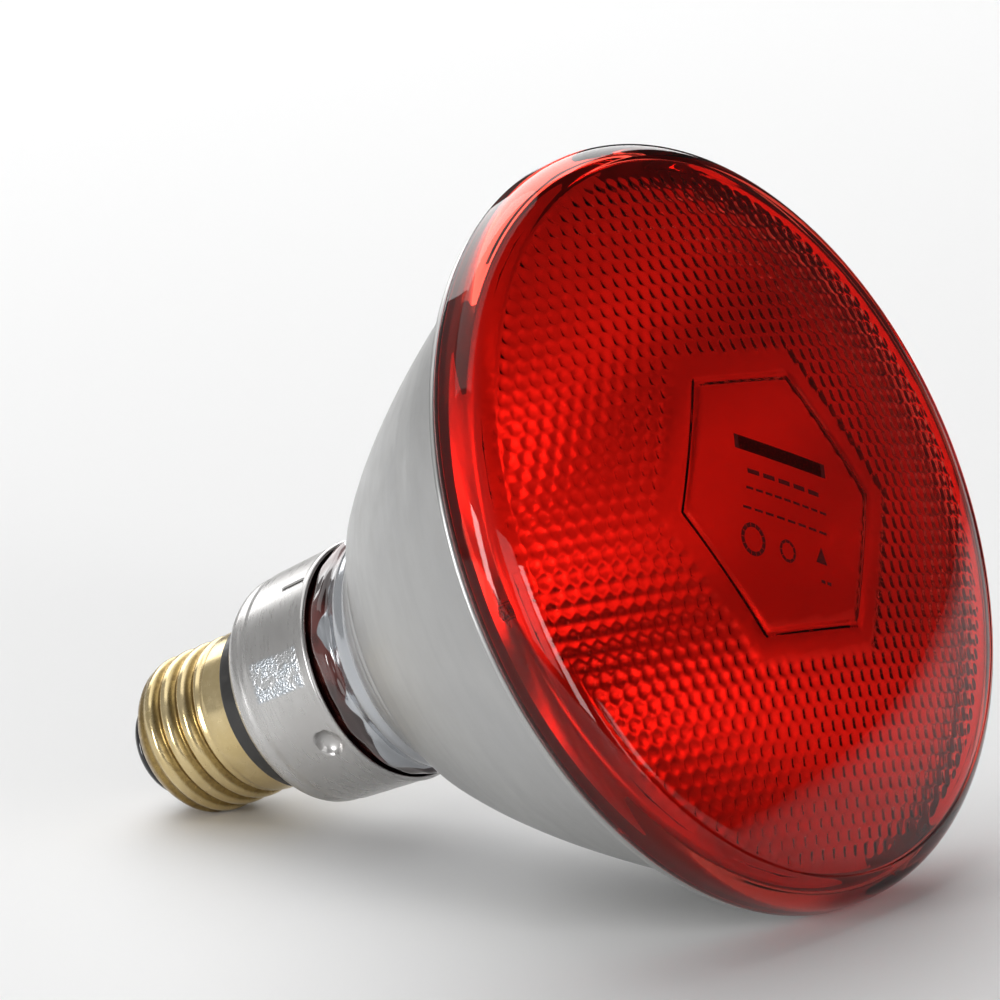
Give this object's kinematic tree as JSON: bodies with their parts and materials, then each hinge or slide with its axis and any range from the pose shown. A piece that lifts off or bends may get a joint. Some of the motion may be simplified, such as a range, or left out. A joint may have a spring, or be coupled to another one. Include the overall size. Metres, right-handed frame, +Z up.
{
  "type": "infrared reflector lamp",
  "caption": "Screw-base infrared reflector heat lamp: domed red glass lens on a mirrored glass bowl, aluminium skirt and brass screw cap.",
  "frame": {"origin": "Bottom centre of the bounding box. The lamp lies on the ground on its lens rim and its screw shell, and the ground is Z = 0.", "axes": "+Z is up. The lens faces -Y and the cap points to +Y; the lamp's own axis lies in the YZ plane, raised 24.0 degrees towards the lens. +Y is the longest extent of the box and +Z the shortest."},
  "size_m": [0.1208, 0.1384, 0.1122],
  "materials": {
    "red_glass": "pressed, deep red, glossy and see-through",
    "mirrored_glass": "pressed glass, bright mirror inside, satin grey outside",
    "clear_glass": "clear",
    "black_glass": "opaque black, glossy",
    "aluminium": "drawn sheet, bright satin",
    "brass": "rolled sheet, bright",
    "nickel": "drawn nickel wire",
    "tungsten": "coiled tungsten wire, grey",
    "solder": "melted solder, dull",
    "copper": "copper-clad, satin",
    "black_ceramic": "black, satin",
    "cement": "dry, matt"
  },
  "bodies": {
    "root": {"front_lens": "red_glass", "reflector_bowl": "mirrored_glass", "exhaust_tip": "clear_glass", "left_ferrule": "copper", "right_ferrule": "copper", "left_lead_post": "nickel", "right_lead_post": "nickel", "filament_coil": "tungsten", "support_bead": "clear_glass", "filament_anchor": "nickel", "centre_lead": "copper", "fuse_sleeve": "cement", "shell_lead": "copper", "shell_solder": "solder", "basing_cement": "cement", "skirt": "aluminium", "insulating_ring": "black_ceramic", "screw_shell": "brass", "insulator_cone": "black_glass", "centre_contact": "brass", "contact_solder": "solder"}
  },
  "joints": []
}
